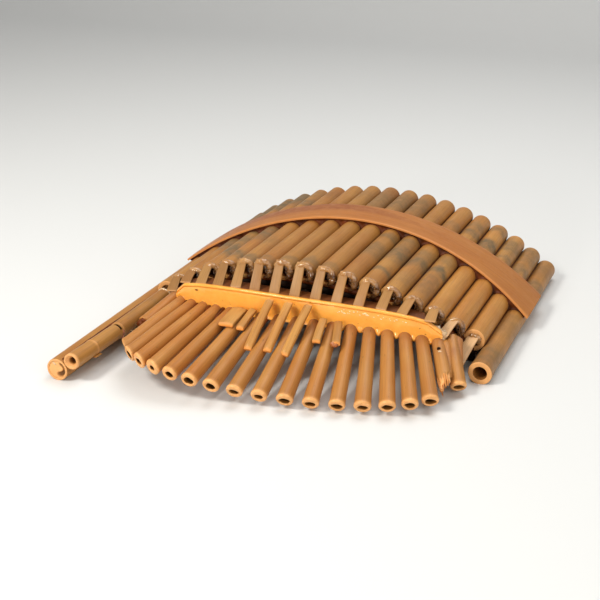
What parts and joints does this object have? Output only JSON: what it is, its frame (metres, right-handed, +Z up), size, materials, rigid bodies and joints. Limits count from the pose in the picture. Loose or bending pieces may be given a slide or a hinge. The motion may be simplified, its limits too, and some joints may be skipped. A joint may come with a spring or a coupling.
{
  "type": "bamboo pan pipes with blow tubes",
  "caption": "Arched row of bamboo pan pipes with a fan of blow tubes set in a resin bar, a long side drone carrying a small whistle, and a bent band over the pipes.",
  "frame": {"origin": "middle of the whole object's box, on the surface that it stands on", "axes": "+Z up, +Y along the pipes and away from the player's mouth, +X to the player's right"},
  "size_m": [0.2839, 0.3155, 0.0671],
  "materials": {
    "pipe_bamboo": "satin",
    "tube_bamboo": "satin",
    "tongue_reed": "satin",
    "band_cane": "satin",
    "header_wood": "satin",
    "cast_resin": "gloss"
  },
  "bodies": {
    "root": {"pan_pipe_01": "pipe_bamboo", "pan_pipe_02": "pipe_bamboo", "pan_pipe_03": "pipe_bamboo", "pan_pipe_04": "pipe_bamboo", "pan_pipe_05": "pipe_bamboo", "pan_pipe_06": "pipe_bamboo", "pan_pipe_07": "pipe_bamboo", "pan_pipe_08": "pipe_bamboo", "pan_pipe_09": "pipe_bamboo", "pan_pipe_10": "pipe_bamboo", "pan_pipe_11": "pipe_bamboo", "pan_pipe_12": "pipe_bamboo", "pan_pipe_13": "pipe_bamboo", "pan_pipe_14": "pipe_bamboo", "pan_pipe_15": "pipe_bamboo", "pan_pipe_16": "pipe_bamboo", "pan_pipe_17": "pipe_bamboo", "pan_pipe_18": "pipe_bamboo", "pan_pipe_19": "pipe_bamboo", "blow_tube_01": "tube_bamboo", "blow_tube_02": "tube_bamboo", "blow_tube_03": "tube_bamboo", "blow_tube_04": "tube_bamboo", "blow_tube_05": "tube_bamboo", "blow_tube_06": "tube_bamboo", "blow_tube_07": "tube_bamboo", "blow_tube_08": "tube_bamboo", "blow_tube_09": "tube_bamboo", "blow_tube_10": "tube_bamboo", "blow_tube_11": "tube_bamboo", "blow_tube_12": "tube_bamboo", "blow_tube_13": "tube_bamboo", "blow_tube_14": "tube_bamboo", "blow_tube_15": "tube_bamboo", "blow_tube_16": "tube_bamboo", "blow_tube_17": "tube_bamboo", "blow_tube_18": "tube_bamboo", "blow_tube_19": "tube_bamboo", "air_tongue_03": "tongue_reed", "air_tongue_04": "tongue_reed", "air_tongue_05": "tongue_reed", "air_tongue_06": "tongue_reed", "air_tongue_07": "tongue_reed", "air_tongue_08": "tongue_reed", "air_tongue_09": "tongue_reed", "air_tongue_10": "tongue_reed", "air_tongue_11": "tongue_reed", "air_tongue_12": "tongue_reed", "air_tongue_13": "tongue_reed", "air_tongue_14": "tongue_reed", "air_tongue_15": "tongue_reed", "air_tongue_16": "tongue_reed", "air_tongue_17": "tongue_reed", "air_tongue_18": "tongue_reed", "cross_band": "band_cane", "header_bar": "header_wood", "resin_bar": "cast_resin", "whistle_mouth_tube": "pipe_bamboo", "whistle_body_tube": "pipe_bamboo", "drone_plug": "tongue_reed"}
  },
  "joints": []
}
